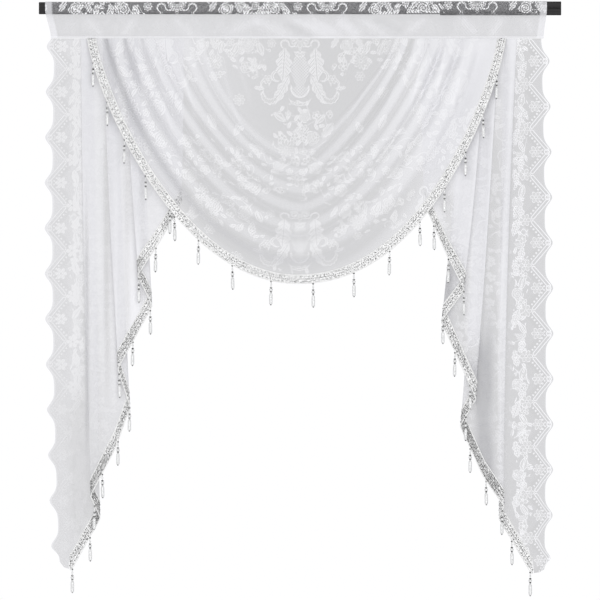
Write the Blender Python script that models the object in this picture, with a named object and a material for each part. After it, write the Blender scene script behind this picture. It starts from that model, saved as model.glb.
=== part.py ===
"""Swag and tail drape of floral lace: a rod pocket on a flat telescopic curtain rod, a draped swag,
two tails that fall in cascades, and beaded fringe along every hem.

Metres. +X is the viewer's right, +Y points to the wall, +Z is up.
The origin is the middle of the rod's back face.
"""

import math

import bpy
import numpy as np

# Rod: a flat rail that slides in a slotted sleeve.
ROD_HALF_LENGTH = 0.6265
RAIL_TOP, RAIL_BOTTOM = 0.0150, -0.0140
RAIL_DEPTH = 0.0058
RAIL_RIGHT_END = 0.374
SLEEVE_LEFT_END = 0.336
SLEEVE_HEIGHT = 0.033
SLEEVE_DEPTH = 0.009
SLEEVE_WALL = 0.0012
SLEEVE_SLOT = 0.0034
ROD_EDGE_ROUND = 0.0014
CUT_PAST = 0.010

# Cloth. The seam joins the pocket, the swag and the tails.
CLOTH = 0.0012
SEWN_GAP = 0.0004
BRAID_GAP = 0.0013
SEAM_Z = -0.072

# Pocket and its skirt, above the seam.
POCKET_TOP_LEFT, POCKET_SEAM_LEFT = -0.6112, -0.5975
POCKET_TOP_RIGHT, POCKET_SEAM_RIGHT = 0.5920, 0.5840
POCKET_SECTIONS = 15
POCKET_EASE = 0.0018
POCKET_CORNER = 0.0032
POCKET_STEP_START, POCKET_STEP_LENGTH = 0.20, 0.08
SKIRT_FRONT, SKIRT_BACK = -0.0128, 0.0014
SKIRT_CREASE = 0.0011
CREASES_ALONG, CREASES_DOWN, CREASE_GROUPS = 31, 60, 11
SKIRT_FOLD = 0.0016

# Swag.
SWAG_SEAM_Y = -0.0102
SWAG_BELLY = 0.060
BELLY_CURVE = 0.7
SWAG_HEM_Z = -0.6588
SWAG_COLUMNS = 28
FOLD_PINCH_Z = 0.055
FOLD_AT_SEAM = 0.15

# Tails.
TAIL_SEAM_Y = -0.0022
TAIL_PRESS = 0.10
TAIL_ROWS = 10
TURN_AT_SEAM, TURN_AT_HEM = 0.0010, 0.0048
TURN_INSET = 1.2
TURN_SHARE = 0.1
FLARE_CURVE = 0.8
BRAID_RISE = 0.038
SCALLOP_PITCH = 0.1090
SCALLOP_DEPTH = 0.0185
SCALLOP_ROUND = 1.9
SCALLOP_FADE = 0.034
SCALLOP_STEPS = 12
BORDER_INSET = 0.010

# Beaded fringe: a braid along the hem and drops strung under it.
BRAID_WIDTH = 0.0195
BRAID_THICK = 0.0024
SWAG_DROP_PITCH, TAIL_DROP_PITCH = 0.1003, 0.0868
DROP_ROOT = 0.003
DROP_SIDES = 4
SWAG_FIRST_DROP, TAIL_FIRST_DROP = 0.060, 0.008
LAST_DROP_CLEAR = 0.030

# Rails of the swag, from the seam to the hem. Each is a hanging curve: where it is sewn at the left and at
# the right, its lowest point, how full its shoulders are (1 runs nearly straight down to the lowest point),
# and how far its fold stands forward at the left, at the bottom and at the right.
SWAG_RAILS = (
    # name, left_x, left_curve, low_x, low_z, right_x, right_curve, left_lift, low_lift, right_lift
    ("seam", -0.2232, 2.00, 0.000, SEAM_Z, 0.2232, 2.00, 0.000, 0.000, 0.000),
    ("sheer panel", -0.2290, 2.05, 0.012, -0.3330, 0.2250, 1.10, 0.000, 0.000, 0.000),
    ("ridge 1", -0.2370, 2.00, 0.012, -0.3560, 0.2310, 1.10, 0.003, 0.006, 0.008),
    ("valley 1", -0.2560, 1.95, 0.012, -0.3732, 0.2400, 1.15, -0.003, -0.005, -0.009),
    ("ridge 2", -0.2780, 1.85, 0.012, -0.3920, 0.2540, 1.25, 0.005, 0.006, 0.009),
    ("valley 2", -0.3000, 1.80, 0.010, -0.4130, 0.2680, 1.35, -0.004, -0.006, -0.008),
    ("ridge 3", -0.3215, 1.75, 0.008, -0.4340, 0.2860, 1.42, 0.005, 0.007, 0.007),
    ("valley 3", -0.3410, 1.70, 0.005, -0.4560, 0.3060, 1.47, -0.005, -0.006, -0.007),
    ("ridge 4", -0.3600, 1.70, 0.003, -0.4780, 0.3240, 1.52, 0.006, 0.007, 0.008),
    ("valley 4", -0.3790, 1.72, 0.001, -0.5004, 0.3430, 1.57, -0.007, -0.006, -0.008),
    ("ridge 5", -0.3985, 1.75, -0.001, -0.5250, 0.3630, 1.62, 0.006, 0.007, 0.006),
    ("valley 5", -0.4200, 1.80, -0.003, -0.5460, 0.3860, 1.70, -0.008, -0.006, -0.006),
    ("ridge 6", -0.4420, 1.85, -0.004, -0.5748, 0.4100, 1.80, 0.006, 0.007, 0.006),
    ("valley 6", -0.4640, 1.92, -0.006, -0.6048, 0.4370, 1.95, -0.008, -0.008, -0.006),
    ("braid top", -0.4890, 1.98, -0.007, -0.6390, 0.4730, 2.15, 0.003, 0.004, 0.003),
    ("hem", -0.5088, 2.00, -0.007, SWAG_HEM_Z, 0.4920, 2.20, 0.004, 0.005, 0.004),
)
FIRST_FOLD, BRAID_RAIL = 1, 14
SHOULDER = 0.79

# Lines that run down a tail from the seam to the hem, from its outer edge inwards. "fold" lines turn the
# cloth back on itself, and "flat" ones don't. The three distances are out from the middle of the rod, and
# depth is how far the line stands behind (+) or in front of (-) the seam at the hem.
LEFT_TAIL = (
    # kind, seam_out, middle_out, hem_out, hem_z, depth
    ("flat", 0.5890, 0.5935, 0.5770, -1.3270, 0.000),
    ("flat", 0.5680, 0.5720, 0.5660, -1.3410, 0.002),
    ("flat", 0.5610, 0.5650, 0.5570, -1.3470, 0.003),
    ("fold", 0.4944, 0.4870, 0.4790, -1.2216, 0.008),
    ("fold", 0.5256, 0.5190, 0.5026, -1.1700, -0.010),
    ("flat", 0.4840, 0.4680, 0.4400, -1.0560, -0.009),
    ("fold", 0.4416, 0.4260, 0.4073, -0.9552, -0.001),
    ("fold", 0.4728, 0.4590, 0.4368, -0.8640, -0.022),
    ("fold", 0.3888, 0.3700, 0.3538, -0.7128, -0.013),
    ("fold", 0.4224, 0.4090, 0.3888, -0.6408, -0.034),
    ("flat", 0.3360, 0.3350, 0.3336, -0.5568, -0.031),
    ("flat", 0.2784, 0.2800, 0.2832, -0.4680, -0.033),
)
RIGHT_TAIL = (
    # kind, seam_out, middle_out, hem_out, hem_z, depth
    ("flat", 0.5790, 0.5892, 0.5860, -1.3460, 0.000),
    ("flat", 0.5590, 0.5670, 0.5740, -1.3530, 0.002),
    ("flat", 0.5490, 0.5570, 0.5660, -1.3560, 0.003),
    ("fold", 0.4900, 0.4790, 0.4770, -1.2230, 0.008),
    ("fold", 0.5208, 0.4990, 0.4900, -1.1950, -0.009),
    ("flat", 0.4880, 0.4660, 0.4410, -1.1230, -0.009),
    ("fold", 0.4440, 0.4180, 0.3840, -1.0008, 0.001),
    ("fold", 0.4776, 0.4530, 0.4224, -0.9360, -0.020),
    ("fold", 0.3960, 0.3710, 0.3384, -0.7500, -0.012),
    ("fold", 0.4440, 0.4260, 0.3936, -0.6750, -0.033),
    ("flat", 0.3600, 0.3560, 0.3500, -0.5850, -0.031),
    ("flat", 0.2880, 0.2910, 0.2980, -0.4680, -0.034),
)
TIP_LINE = 2
LEFT_FIRST_POINT, RIGHT_FIRST_POINT = -0.0912, -0.1260

# Outline of one strung drop: depth under the hem and radius.
DROP_OUTLINE = (
    (0.0050, 0.0022),
    (0.0090, 0.0009),
    (0.0175, 0.0009),
    (0.0235, 0.0039),
    (0.0295, 0.0014),
    (0.0350, 0.0031),
    (0.0560, 0.0035),
    (0.0620, 0.0010),
)
DROP_THREAD = 0.0009

LACE_COLOUR = (0.86, 0.86, 0.87, 1.0)
BRAID_COLOUR = (0.62, 0.61, 0.59, 1.0)
ROD_COLOUR = (0.028, 0.025, 0.026, 1.0)


def clear_scene():
    for obj in list(bpy.data.objects):
        bpy.data.objects.remove(obj, do_unlink=True)


def material(name, colour, roughness, metallic):
    made = bpy.data.materials.new(name)
    made.use_nodes = True
    shader = made.node_tree.nodes["Principled BSDF"]
    shader.inputs["Base Color"].default_value = colour
    shader.inputs["Roughness"].default_value = roughness
    shader.inputs["Metallic"].default_value = metallic
    return made


def add_object(name, points, faces, finish):
    mesh = bpy.data.meshes.new(name)
    mesh.from_pydata([tuple(map(float, p)) for p in points], [], faces)
    mesh.materials.append(finish)
    mesh.shade_smooth()
    obj = bpy.data.objects.new(name, mesh)
    bpy.context.scene.collection.objects.link(obj)
    return obj


def add_box(name, low, high, finish, round_edges=0.0):
    """A box between two corners, with its edges rounded to this radius."""
    corners = [(x, y, z) for x in (low[0], high[0]) for y in (low[1], high[1]) for z in (low[2], high[2])]
    faces = [(0, 1, 3, 2), (4, 6, 7, 5), (0, 4, 5, 1), (2, 3, 7, 6), (0, 2, 6, 4), (1, 5, 7, 3)]
    obj = add_object(name, corners, faces, finish)
    if round_edges:
        bevel = obj.modifiers.new("rounded edges", "BEVEL")
        bevel.width = round_edges
        bevel.segments = 2
    return obj


def combine(obj, other, operation):
    """Cuts the other object from this one, or joins it on, and hides it."""
    other.hide_render = True
    other.display_type = "WIRE"
    boolean = obj.modifiers.new(other.name, "BOOLEAN")
    boolean.operation = operation
    boolean.object = other


def smoothstep(x):
    x = np.clip(x, 0.0, 1.0)
    return x * x * (3 - 2 * x)


def draped_normals(grid):
    """Unit normals of the swag. Those along its sewn top and at its two sewn corners are level."""
    normals = np.cross(np.gradient(grid, axis=1), np.gradient(grid, axis=0))
    normals[:, 0, 2] = 0.0
    normals[0] = normals[-1] = (0.0, -1.0, 0.0)
    return normals / np.linalg.norm(normals, axis=2, keepdims=True)


def hanging_normals(grid):
    """Unit normals of a tail. They are all level, since it hangs straight down."""
    along = np.gradient(grid, axis=0)
    normals = np.stack([along[..., 1], -along[..., 0], np.zeros(along.shape[:2])], axis=2)
    return normals / np.linalg.norm(normals, axis=2, keepdims=True)


def grid_faces(columns, rows, first, flip):
    """Faces over a grid whose points are numbered down each column from this first one."""
    faces = []
    for i in range(columns - 1):
        for j in range(rows - 1):
            a = first + i * rows + j
            quad = (a, a + 1, a + rows + 1, a + rows)
            faces.append(quad[::-1] if flip else quad)
    return faces


def solid_sheet(grid, normals, thickness, border=None):
    """Points and faces of a sheet with this thickness around a grid of points.

    border, if given, is a finer line of points outside the first column, such as a scalloped edge."""
    columns, rows, _ = grid.shape
    count = columns * rows
    half = thickness / 2
    points = [*(grid + normals * half).reshape(-1, 3), *(grid - normals * half).reshape(-1, 3)]
    faces = grid_faces(columns, rows, 0, False) + grid_faces(columns, rows, count, True)
    back_of = {i: i + count for i in range(count)}
    top = [i * rows for i in range(columns)]
    bottom = [i * rows + rows - 1 for i in range(columns)]
    first = list(range(rows))
    last = [(columns - 1) * rows + j for j in range(rows)]
    rims = [top[::-1], last[::-1], bottom, first]
    if border is not None:
        steps = (len(border) - 1) // (rows - 1)
        row = np.arange(len(border)) / steps
        above = np.minimum(row.astype(int), rows - 2)
        part = (row - above)[:, None]
        turn = normals[0][above] * (1 - part) + normals[0][above + 1] * part
        edge = [len(points) + k for k in range(len(border))]
        points += [*(border + turn * half), *(border - turn * half)]
        back_of.update({k: k + len(border) for k in edge})
        for j in range(rows - 1):
            fan = [(edge[k], edge[k + 1], first[j]) for k in range(j * steps, (j + 1) * steps)]
            for face in [*fan, (edge[(j + 1) * steps], first[j + 1], first[j])]:
                faces += [face, tuple(back_of[v] for v in face[::-1])]
        rims = [[*top[::-1], edge[0]], last[::-1], [edge[-1], *bottom], edge]
    for rim in rims:
        for a, b in zip(rim, rim[1:]):
            if a < b:
                faces += [(a, back_of[a], back_of[b]), (a, back_of[b], b)]
            else:
                faces += [(a, back_of[a], b), (b, back_of[a], back_of[b])]
    return points, faces


def swag_rails(across):
    """Points of every rail of the swag at these places across it, from -1 at the left to 1 at the right."""
    rails = []
    away = np.abs(across)
    left = across < 0
    for rail in SWAG_RAILS:
        _, left_x, left_curve, low_x, low_z, right_x, right_curve, left_lift, low_lift, right_lift = rail
        x = low_x + np.where(left, left_x - low_x, right_x - low_x) * away
        curve = np.where(left, left_curve, right_curve)
        z = low_z + (SEAM_Z - low_z) * (1 - np.clip(1 - away**curve, 0.0, 1.0) ** SHOULDER)
        lift = low_lift + np.where(left, left_lift - low_lift, right_lift - low_lift) * away
        lift = lift * (FOLD_AT_SEAM + (1 - FOLD_AT_SEAM) * smoothstep((SEAM_Z - z) / FOLD_PINCH_Z))
        drop = np.clip((SEAM_Z - z) / (SEAM_Z - SWAG_HEM_Z), 0.0, 1.0)
        y = SWAG_SEAM_Y - SWAG_BELLY * drop**BELLY_CURVE - lift
        rails.append(np.stack([x, y, z], axis=1))
    return np.array(rails)


def swag_surface(across, down):
    """Points of the swag, for places across it and places down it in rails: 2.5 is between rails 2 and 3."""
    rails = swag_rails(across)
    low = np.minimum(np.floor(down).astype(int), len(rails) - 2)
    part = (down - low)[:, None]
    a, b = rails[low], rails[low + 1]
    grid = a + (b - a) * part[..., None]
    wave = np.where(low[:, None] >= FIRST_FOLD, (1 - np.cos(math.pi * part)) / 2, part)
    grid[..., 1] = a[..., 1] + (b[..., 1] - a[..., 1]) * wave
    return grid.transpose(1, 0, 2)


def across_places(count):
    """Places across the swag, closer together towards the sewn ends, where it runs steeply."""
    return np.sin(np.linspace(-1, 1, count + 1) * math.pi / 2)


def tail_controls(lines):
    """Rows for the lines down the left tail: place, then x and y at the seam, half-way and at the hem.

    A line that folds the cloth back becomes three: the layer behind, the turn, and the layer in front.
    """
    controls = []
    heading = 1.0
    for place, (kind, seam_out, middle_out, hem_out, _, depth) in enumerate(lines):
        for side in (1, 0, -1) if kind == "fold" else (0,):
            row = [place - side * TURN_SHARE]
            for share, out in ((0.0, seam_out), (0.5, middle_out), (1.0, hem_out)):
                turn = TURN_AT_SEAM + (TURN_AT_HEM - TURN_AT_SEAM) * share
                pressed = TAIL_PRESS + (1 - TAIL_PRESS) * share**FLARE_CURVE
                x = -out - heading * TURN_INSET * turn * abs(side)
                row += [x, TAIL_SEAM_Y + depth * pressed + side * turn]
            controls.append(row)
        if kind == "fold":
            heading = -heading
    return np.array(controls)


def tail_columns(lines):
    """Rows like those of tail_controls and the hem's z, along a smooth curve past the tail's lines."""
    controls = tail_controls(lines)
    flat = [place for place, line in enumerate(lines) if line[0] == "flat"]
    columns = [controls[0]]
    for i in range(1, len(controls) - 1):
        start = controls[0] if i == 1 else (controls[i - 1] + controls[i]) / 2
        end = controls[-1] if i == len(controls) - 2 else (controls[i] + controls[i + 1]) / 2
        for f in (0.5, 1.0) if controls[i][0] in flat else (0.34, 0.66, 1.0):
            columns.append(start * (1 - f) ** 2 + controls[i] * 2 * f * (1 - f) + end * f**2)
    columns = np.array(columns)
    run = np.concatenate([[0.0], np.cumsum(np.hypot(np.diff(columns[:, 5]), np.diff(columns[:, 6])))])
    line_run = np.interp(np.arange(len(lines)), columns[:, 0], run)
    return np.column_stack([columns, np.interp(run, line_run, [line[4] for line in lines])])


def tail_surface(columns, shares, top_z):
    """Points of a tail: columns from tail_columns, each at its shares of the way from seam to hem."""
    f = shares[..., None]
    seam, middle, hem = (columns[:, None, k : k + 2] for k in (1, 3, 5))
    plan = seam * (2 * f - 1) * (f - 1) + middle * 4 * f * (1 - f) + hem * f * (2 * f - 1)
    z = top_z + (columns[:, None, 7] - top_z) * shares
    return np.concatenate([plan, z[..., None]], axis=2)


def scallop(z, first_point):
    """How far the lace border reaches past its narrowest line at this height."""
    phase = np.abs(((z - first_point) / SCALLOP_PITCH) % 1.0 - 0.5) * 2
    return SCALLOP_DEPTH * np.sin(phase**SCALLOP_ROUND * math.pi / 2) ** 2


def strung_drops(points):
    """Points and faces of the drops that hang under these points."""
    outline = [(-DROP_ROOT, DROP_THREAD), *DROP_OUTLINE]
    found, faces = [], []
    for x, y, z in points:
        first = len(found)
        for depth, radius in outline:
            for side in range(DROP_SIDES):
                angle = math.tau * side / DROP_SIDES
                across, out = radius * math.cos(angle), radius * math.sin(angle)
                found.append(np.array([x + across, y + out, z - depth]))
        rings = len(outline)
        for ring in range(rings - 1):
            for side in range(DROP_SIDES):
                a = first + ring * DROP_SIDES + side
                b = first + ring * DROP_SIDES + (side + 1) % DROP_SIDES
                faces.append((a, a + DROP_SIDES, b + DROP_SIDES, b))
        faces.append(tuple(first + side for side in range(DROP_SIDES)))
        faces.append(tuple(first + (rings - 1) * DROP_SIDES + side for side in reversed(range(DROP_SIDES))))
    return found, faces


def places_along(edge, start, pitch):
    """Points at an even pitch along a line of points."""
    lengths = np.linalg.norm(np.diff(edge, axis=0), axis=1)
    travelled = np.concatenate([[0.0], np.cumsum(lengths)])
    stops = np.arange(start, travelled[-1] - LAST_DROP_CLEAR, pitch)
    return np.stack([np.interp(stops, travelled, edge[:, k]) for k in range(3)], axis=1)


def mirrored(side, points, faces):
    """The same points and faces at the left, side -1, or mirrored to the right, side 1."""
    if side < 0:
        return points, faces
    return [p * (-1, 1, 1) for p in points], [face[::-1] for face in faces]


def fringe(name, side, grid, normals, start, pitch, finish):
    """A braid over this grid of points, with drops under its last row."""
    braid = add_object(name, *mirrored(side, *solid_sheet(grid, normals, BRAID_THICK)), finish)
    roots = places_along(grid[:, -1], start, pitch)
    drops = add_object(name + " drops", *mirrored(side, *strung_drops(roots)), finish)
    combine(braid, drops, "UNION")


def make_rod(finish):
    middle = -SLEEVE_DEPTH / 2
    top = SLEEVE_HEIGHT / 2
    add_box(
        "rod_rail",
        (-ROD_HALF_LENGTH, middle - RAIL_DEPTH / 2, RAIL_BOTTOM),
        (RAIL_RIGHT_END, middle + RAIL_DEPTH / 2, RAIL_TOP),
        finish,
        ROD_EDGE_ROUND,
    )
    sleeve = add_box(
        "rod_sleeve",
        (SLEEVE_LEFT_END, -SLEEVE_DEPTH, -top),
        (ROD_HALF_LENGTH, 0.0, top),
        finish,
        ROD_EDGE_ROUND,
    )
    hollow = add_box(
        "sleeve hollow",
        (SLEEVE_LEFT_END - CUT_PAST, -SLEEVE_DEPTH + SLEEVE_WALL, -top + SLEEVE_WALL),
        (ROD_HALF_LENGTH - SLEEVE_WALL, -SLEEVE_WALL, top - SLEEVE_WALL),
        finish,
    )
    slot = add_box(
        "sleeve slot",
        (SLEEVE_LEFT_END - CUT_PAST, -SLEEVE_DEPTH - CUT_PAST, -SLEEVE_SLOT / 2),
        (ROD_HALF_LENGTH - 2 * SLEEVE_WALL, middle, SLEEVE_SLOT / 2),
        finish,
    )
    combine(sleeve, hollow, "DIFFERENCE")
    combine(sleeve, slot, "DIFFERENCE")


def pocket_loop(x):
    """The pocket's section here, up its front, over the rod and down its back, as (y, z)."""
    half = CLOTH / 2
    on_sleeve = smoothstep((x - POCKET_STEP_START) / POCKET_STEP_LENGTH)
    deep = (RAIL_DEPTH + (SLEEVE_DEPTH - RAIL_DEPTH) * on_sleeve) / 2 + POCKET_EASE + half
    top = RAIL_TOP + (SLEEVE_HEIGHT / 2 - RAIL_TOP) * on_sleeve + SEWN_GAP + half
    middle = -SLEEVE_DEPTH / 2
    seam = SEAM_Z + half
    front_half = [
        (SKIRT_FRONT + SKIRT_FOLD, seam),
        (SKIRT_FRONT, seam + SKIRT_FOLD),
        (SKIRT_FRONT, SEAM_Z * 0.75),
        (SKIRT_FRONT, SEAM_Z * 0.5),
        (middle - deep, SEAM_Z * 0.26),
        (middle - deep, 0.0),
        (middle - deep, top - POCKET_CORNER * 1.4),
        (middle - deep + POCKET_CORNER * 0.22, top - POCKET_CORNER * 0.25),
        (middle - deep + POCKET_CORNER, top),
    ]
    back_half = [
        (2 * middle - y, z) if z > SEAM_Z * 0.4 else (SKIRT_FRONT + SKIRT_BACK - y, z)
        for y, z in reversed(front_half)
    ]
    return [*front_half, (middle, top), *back_half]


def make_pocket(finish):
    """The strip that wraps the rod, its two layers sewn together along the seam."""
    half = CLOTH / 2
    count = len(pocket_loop(0.0))
    outer, inner = [], []
    for section in range(POCKET_SECTIONS + 1):
        part = section / POCKET_SECTIONS
        loop = pocket_loop(POCKET_TOP_LEFT + (POCKET_TOP_RIGHT - POCKET_TOP_LEFT) * part)
        for i, (y, z) in enumerate(loop):
            before, after = loop[i - 1], loop[(i + 1) % count]
            along_y, along_z = np.subtract(after, before) / np.linalg.norm(np.subtract(after, before))
            narrowed = smoothstep(z / SEAM_Z)
            left = POCKET_TOP_LEFT + (POCKET_SEAM_LEFT - POCKET_TOP_LEFT) * narrowed
            right = POCKET_TOP_RIGHT + (POCKET_SEAM_RIGHT - POCKET_TOP_RIGHT) * narrowed
            x = left + (right - left) * part
            loose = smoothstep(z / SEAM_Z * 3.6 - 0.6) * smoothstep((1 - z / SEAM_Z) * 3.6)
            lean = math.sin(CREASES_ALONG * x + CREASES_DOWN * z)
            y += SKIRT_CREASE * loose * lean * math.sin(CREASE_GROUPS * x)
            outer.append((x, y - along_z * half, z + along_y * half))
            inner.append((x, y + along_z * half, z - along_y * half))
    shift = len(outer)
    faces = []
    for i in range(count):
        following = (i + 1) % count
        for section in range(POCKET_SECTIONS):
            a, b = section * count + i, section * count + following
            faces.append((a, a + count, b + count, b))
            faces.append((shift + a, shift + b, shift + b + count, shift + a + count))
        a, b = POCKET_SECTIONS * count + i, POCKET_SECTIONS * count + following
        faces += [(following, following + shift, i + shift, i), (a, a + shift, b + shift, b)]
    add_object("rod_pocket", outer + inner, faces, finish)


def make_swag(lace, braid):
    across = across_places(SWAG_COLUMNS)
    panel = np.linspace(0.0, FIRST_FOLD, 4)
    folds = np.arange(FIRST_FOLD + 0.5, BRAID_RAIL + 0.1, 0.5)
    grid = swag_surface(across, np.concatenate([panel, folds]))
    grid[:, :, 2] -= SEWN_GAP
    down = grid[:, -1] - grid[:, -2]
    grid[:, -1] -= down / np.linalg.norm(down, axis=1, keepdims=True) * BRAID_GAP
    add_object("swag", *solid_sheet(grid, draped_normals(grid), CLOTH), lace)
    band = swag_surface(across, np.linspace(BRAID_RAIL, len(SWAG_RAILS) - 1, 3))
    band[:, :, 2] -= SEWN_GAP
    fringe("swag_fringe", -1, band, draped_normals(band), SWAG_FIRST_DROP, SWAG_DROP_PITCH, braid)


def make_tail(name, side, lines, first_point, lace, braid):
    """The tail on this side, -1 or 1. A right tail is worked out as a left one and then mirrored."""
    columns = tail_columns(lines)
    top_z = SEAM_Z - SEWN_GAP
    border = tail_surface(columns[:1], np.linspace(0, 1, TAIL_ROWS * SCALLOP_STEPS + 1)[None, :], top_z)[0]
    fade = smoothstep((border[:, 2] - border[-1, 2]) / SCALLOP_FADE)
    border[:, 0] -= scallop(border[:, 2], first_point) * fade
    columns[0, [1, 3, 5]] += BORDER_INSET
    trimmed = columns[:, 0] > TIP_LINE - TURN_SHARE
    drop = top_z - columns[:, 7]
    cloth_end = 1 - np.where(trimmed, BRAID_RISE * (1 + BRAID_GAP / BRAID_WIDTH), 0.0) / drop
    grid = tail_surface(columns, np.linspace(0, 1, TAIL_ROWS + 1)[None, :] * cloth_end[:, None], top_z)
    add_object(name, *mirrored(side, *solid_sheet(grid, hanging_normals(grid), CLOTH, border)), lace)
    shares = 1 - (BRAID_RISE / drop[trimmed])[:, None] * np.linspace(1, 0, 3)[None, :]
    band = tail_surface(columns[trimmed], shares, top_z)
    fringe(name + "_fringe", side, band, hanging_normals(band), TAIL_FIRST_DROP, TAIL_DROP_PITCH, braid)


def main():
    clear_scene()
    lace = material("lace", LACE_COLOUR, 0.75, 0.0)
    braid = material("beaded braid", BRAID_COLOUR, 0.4, 0.3)
    paint = material("rod paint", ROD_COLOUR, 0.35, 0.2)
    make_rod(paint)
    make_pocket(lace)
    make_swag(lace, braid)
    make_tail("left_tail", -1, LEFT_TAIL, LEFT_FIRST_POINT, lace, braid)
    make_tail("right_tail", 1, RIGHT_TAIL, RIGHT_FIRST_POINT, lace, braid)


main()
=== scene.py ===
import math

import bpy
import numpy as np
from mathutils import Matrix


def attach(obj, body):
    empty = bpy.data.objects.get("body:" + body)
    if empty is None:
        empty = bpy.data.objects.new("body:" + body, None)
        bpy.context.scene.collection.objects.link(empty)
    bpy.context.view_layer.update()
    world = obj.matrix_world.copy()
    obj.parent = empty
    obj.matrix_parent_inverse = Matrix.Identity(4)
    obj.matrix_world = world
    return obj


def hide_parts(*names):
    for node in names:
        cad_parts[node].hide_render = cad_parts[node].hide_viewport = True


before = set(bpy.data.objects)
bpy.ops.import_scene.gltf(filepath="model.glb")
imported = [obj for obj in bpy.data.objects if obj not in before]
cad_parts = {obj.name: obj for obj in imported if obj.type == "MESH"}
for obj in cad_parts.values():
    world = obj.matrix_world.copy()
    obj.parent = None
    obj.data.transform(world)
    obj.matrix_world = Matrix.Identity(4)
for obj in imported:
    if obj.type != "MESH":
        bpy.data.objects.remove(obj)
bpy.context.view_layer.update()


# Rod. A flat steel rail slides in a slotted sleeve, which sets the rod's length. Both are bent from
# strip and dipped in satin enamel, nearly black, and their bare ends lie in two wall brackets.


class Level:
    """A number, colour or vector that varies over a finish. Sums on numbers add their Math nodes."""

    def __init__(self, finish, socket):
        self.finish = finish
        self.socket = socket

    def maths(self, operation, *others):
        return self.finish.node("ShaderNodeMath", {"operation": operation}, dict(enumerate((self, *others))))

    def __add__(self, other):
        return self.maths("ADD", other)

    def __sub__(self, other):
        return self.maths("SUBTRACT", other)

    def __rsub__(self, other):
        return self.finish.node("ShaderNodeMath", {"operation": "SUBTRACT"}, {0: other, 1: self})

    def __mul__(self, other):
        return self.maths("MULTIPLY", other)

    def __pow__(self, power):
        return self.maths("POWER", power)

    def __mod__(self, pitch):
        return self.maths("FLOORED_MODULO", pitch)

    def __abs__(self):
        return self.maths("ABSOLUTE")

    __radd__ = __add__
    __rmul__ = __mul__

    def sine(self):
        return self.maths("SINE")

    def cosine(self):
        return self.maths("COSINE")

    def most(self, other):
        return self.maths("MAXIMUM", other)

    def least(self, other):
        return self.maths("MINIMUM", other)

    def rise(self, start, end):
        """Goes softly from 0 to 1 as this goes from start to end."""
        return self.finish.node(
            "ShaderNodeMapRange", {"interpolation_type": "SMOOTHSTEP"}, {0: self, 1: start, 2: end}
        )

    def part(self, name):
        """Another output of the same node."""
        return Level(self.finish, self.socket.node.outputs[name])

    def split(self):
        """The first two numbers of a place: as a rule across the cloth and down it."""
        across = self.finish.node("ShaderNodeSeparateXYZ", {}, {0: self})
        return across, across.part("Y")

    def length(self):
        return self.finish.node("ShaderNodeVectorMath", {"operation": "LENGTH"}, {0: self}, "Value")

    def noise(self, scale, detail):
        """Soft noise read at this place, with its scale in waves to a metre."""
        return self.finish.node("ShaderNodeTexNoise", {}, {"Vector": self, "Scale": scale, "Detail": detail})


class Finish:
    """A material: its one shader, and the one way in which its other nodes are added."""

    def __init__(self, name, constants):
        self.material = bpy.data.materials.new(name)
        self.begin(self.material, "Principled BSDF", constants)

    def begin(self, holder, shader, constants):
        holder.use_nodes = True
        self.tree = holder.node_tree
        self.shader = self.tree.nodes[shader]
        for socket, value in constants.items():
            self.shader.inputs[socket].default_value = value

    def node(self, kind, settings, values, output=0):
        """Adds a node: its settings first, then its sockets' values or links. Gives one of its outputs."""
        made = self.tree.nodes.new(kind)
        for name, value in settings.items():
            setattr(made, name, value)
        for socket, value in values.items():
            if isinstance(value, Level):
                self.tree.links.new(value.socket, made.inputs[socket])
            else:
                made.inputs[socket].default_value = value
        return Level(self, made.outputs[output])

    def place(self):
        """Where a spot lies on the piece, in metres."""
        return self.node("ShaderNodeTexCoord", {}, {}, "Object")

    def blend(self, share, first, second):
        """The colour that lies this share of the way from the first to the second."""
        first, second = (tint if isinstance(tint, Level) else (*tint, 1.0) for tint in (first, second))
        return self.node("ShaderNodeMix", {"data_type": "RGBA"}, {0: share, 6: first, 7: second}, 2)

    def feed(self, socket, level):
        self.tree.links.new(level.socket, self.shader.inputs[socket])

    def feed_relief(self, height, distance, strength=1.0):
        relief = {"Strength": strength, "Distance": distance, "Height": height}
        self.feed("Normal", self.node("ShaderNodeBump", {}, relief))


ENAMEL_DARK, ENAMEL_WORN = (0.009, 0.008, 0.009), (0.026, 0.024, 0.025)
DRAW_LINES_TO_A_METRE, PEEL_TO_A_METRE = (5, 260, 260), 900.0

enamel = Finish("rod_enamel", {"Specular IOR Level": 0.12, "Coat Weight": 0.05, "Coat Roughness": 0.25})
along_rod = {0: enamel.place(), 1: DRAW_LINES_TO_A_METRE}
draw_lines = enamel.node("ShaderNodeVectorMath", {"operation": "MULTIPLY"}, along_rod).noise(1.0, 4.0)
rubbed = draw_lines.rise(0.45, 0.75)
enamel.feed("Base Color", enamel.blend(rubbed, ENAMEL_DARK, ENAMEL_WORN))
enamel.feed("Roughness", 0.30 + rubbed * 0.14)
enamel.feed_relief(enamel.place().noise(PEEL_TO_A_METRE, 1.0), 0.0004, 0.2)
for steel_piece in ("rod_rail", "rod_sleeve"):
    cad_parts[steel_piece].material_slots[0].material = enamel.material


# Rod pocket. A strip of the same lace is folded over the rod and sewn to itself along one seam, which
# also takes the tops of the swag and the tails. It stands as a short skirt between rod and seam, and
# its ends are turned in and hemmed.

# THREAD_PAINTED_SHADE is the grey of painted shade, which the thread is darkened towards where the lace lies
# deep in a fold.
THREAD_WHITE, THREAD_SHADE, THREAD_PAINTED_SHADE = (0.92, 0.92, 0.935), (0.82, 0.82, 0.845), (0.42, 0.42, 0.440)
NET_PITCH, SLUBS_TO_A_METRE = 0.0021, 260.0
REPEAT_WIDE, REPEAT_LONG, REPEAT_START = 0.36, 0.45, 0.03
CANE_PITCH, FLOAT_PITCH, BLADE_PITCH = 0.0074, 0.0046, 0.0062


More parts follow.
